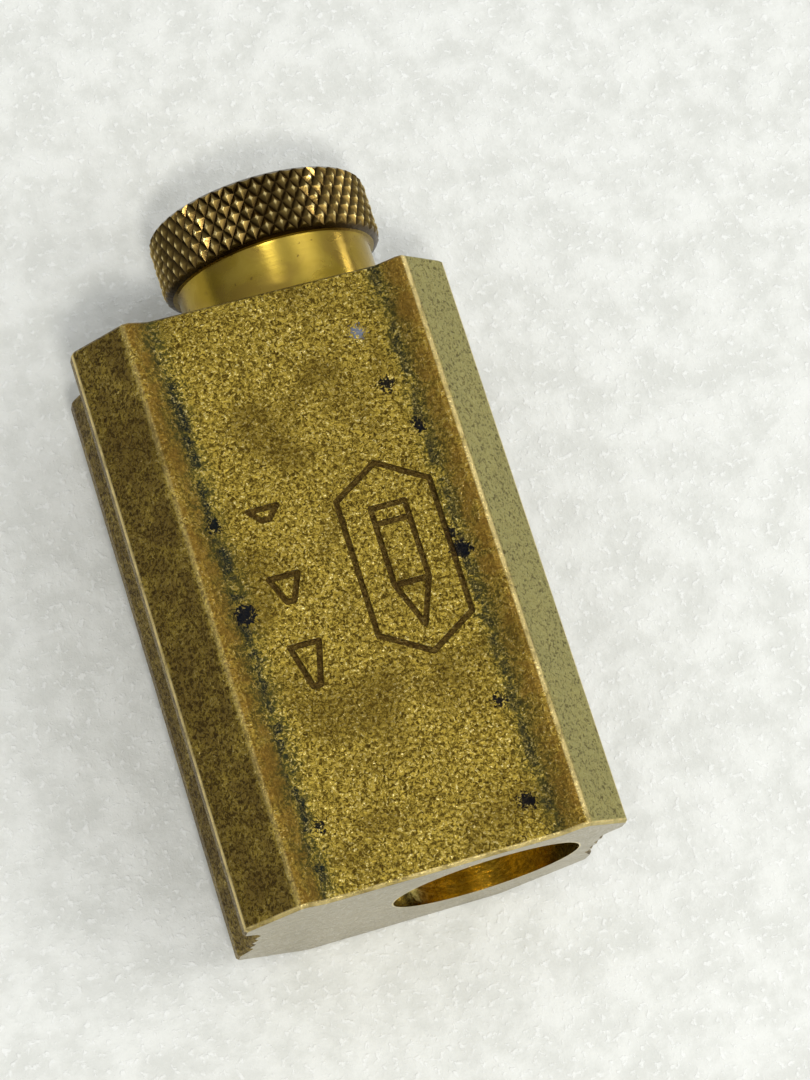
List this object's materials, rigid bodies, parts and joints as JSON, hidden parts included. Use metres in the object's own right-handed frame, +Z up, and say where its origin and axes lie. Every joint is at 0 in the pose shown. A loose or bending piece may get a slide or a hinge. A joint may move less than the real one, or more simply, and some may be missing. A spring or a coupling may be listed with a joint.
{
  "type": "pencil sharpener",
  "caption": "Small solid brass pencil sharpener with a reeded block, a steel blade underneath and a knurled wheel that sets how sharp the point becomes.",
  "frame": {"origin": "centre of the bounding box, on the plane that the block rests on", "axes": "+Y from the pencil hole's end to the wheel, along the block; +X to the side where the cutting edge faces and the chips leave; +Z up, from the blade side to the back"},
  "size_m": [0.0166, 0.0314, 0.013],
  "materials": {
    "body": "drawn and tumbled, aged and matte, with darker tarnish in the corners",
    "wheel": "turned, satin neck, diamond-knurled rim with darkened grooves",
    "blade": "ground, with a bright bevel",
    "screw": "turned, dulled",
    "pins": "ground pins, dulled",
    "detent": "polished ball and spring wire"
  },
  "bodies": {
    "block": {"body": "body", "blade": "blade", "blade_screw": "screw", "retaining_pin": "pins"},
    "wheel": {"adjusting_wheel": "wheel", "point_stop_sharp": "pins", "point_stop_medium": "pins", "point_stop_blunt": "pins", "detent_spring": "detent"},
    "detent": {"detent_ball": "detent"}
  },
  "joints": [
    {"name": "wheel_turn", "type": "hinge", "parent": "block", "child": "wheel", "pos_m": [0.002, 0.00992, 0.0063], "axis": [0, 1, 0], "continuous": true},
    {"name": "detent_travel", "type": "slide", "parent": "wheel", "child": "detent", "axis": [0, 0, 1], "range_m": [-0.0003, 0], "stiffness_N_per_m": 100, "springref_m": 0.0003, "deforming": ["detent_spring"]}
  ]
}
